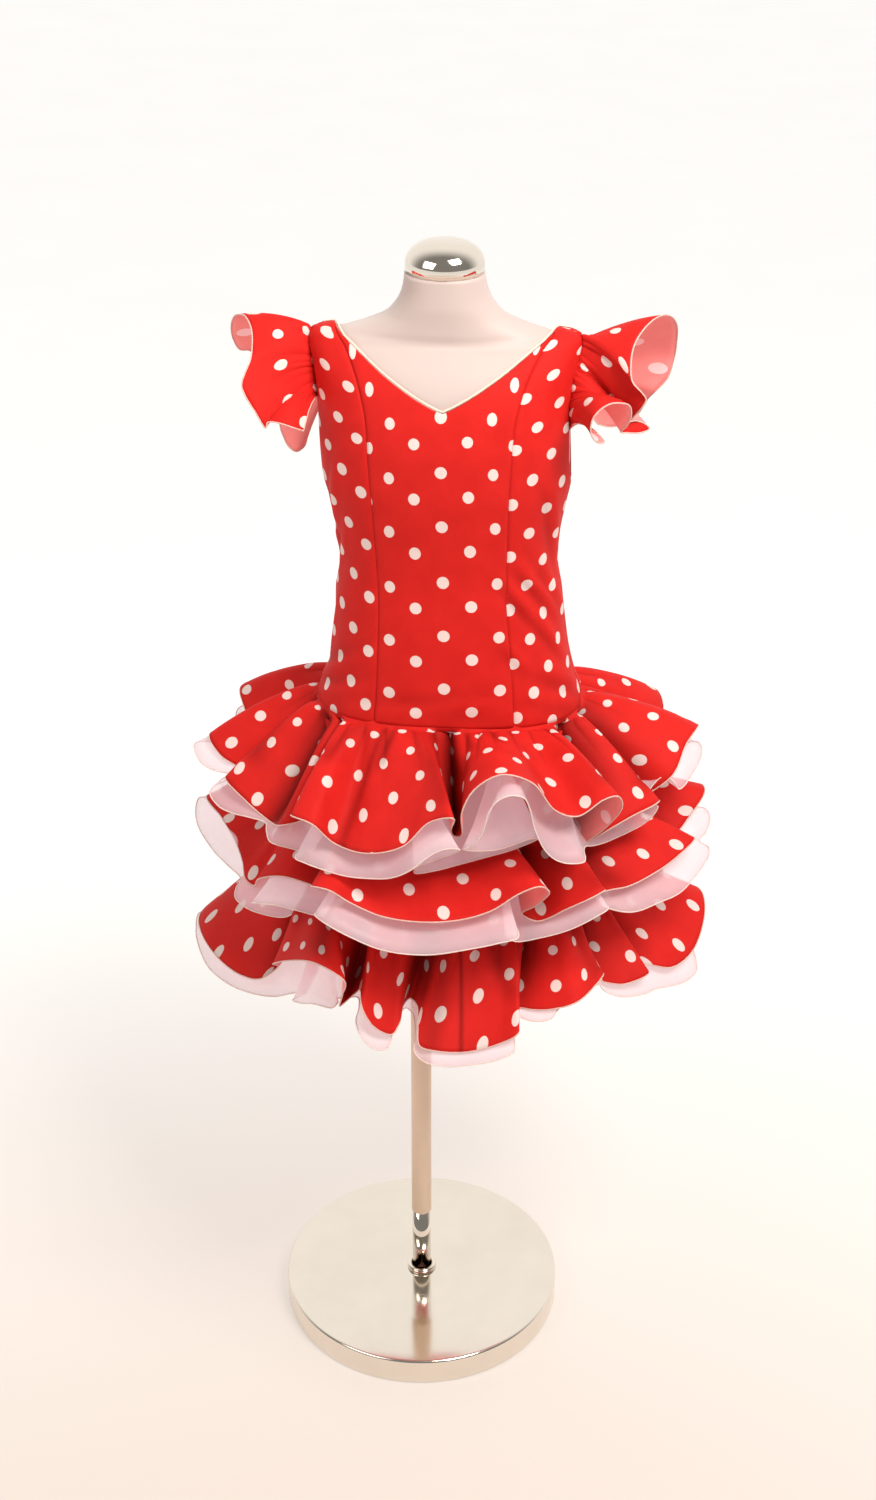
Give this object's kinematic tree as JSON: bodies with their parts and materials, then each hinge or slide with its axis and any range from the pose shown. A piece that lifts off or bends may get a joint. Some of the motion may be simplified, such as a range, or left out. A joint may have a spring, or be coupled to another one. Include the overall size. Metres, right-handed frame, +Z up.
{
  "type": "flamenco dress on dress form",
  "caption": "Child's sleeveless V-neck flamenco dress with cap-sleeve ruffles and ruffled skirt tiers over sheer organza, on a limbless dress form with pole and round base.",
  "frame": {"origin": "middle of the underside of the stand's base", "axes": "+Z up along the pole; the dress's front faces -Y; +X is to the viewer's right from the front"},
  "size_m": [0.5356, 0.4553, 1.1893],
  "materials": {
    "red_cloth": "matt satin, white dots, paler reverse",
    "organza": "sheer white",
    "cream_tape": "matt",
    "form_cover": "smooth warm white",
    "chrome": "polished"
  },
  "bodies": {
    "root": {"base": "chrome", "pole_collar": "chrome", "pole": "chrome", "neck_cap": "chrome", "form_torso": "form_cover", "front_center": "red_cloth", "front_side_L": "red_cloth", "front_side_R": "red_cloth", "back_L": "red_cloth", "back_R": "red_cloth", "back_zip": "cream_tape", "neck_binding": "cream_tape", "sleeve_ruffle_L": "red_cloth", "sleeve_ruffle_R": "red_cloth", "underskirt": "red_cloth", "tier1_ruffle": "red_cloth", "tier1_organza": "organza", "tier2_ruffle": "red_cloth", "tier2_organza": "organza", "tier3_ruffle": "red_cloth", "tier3_organza": "organza"}
  },
  "joints": []
}
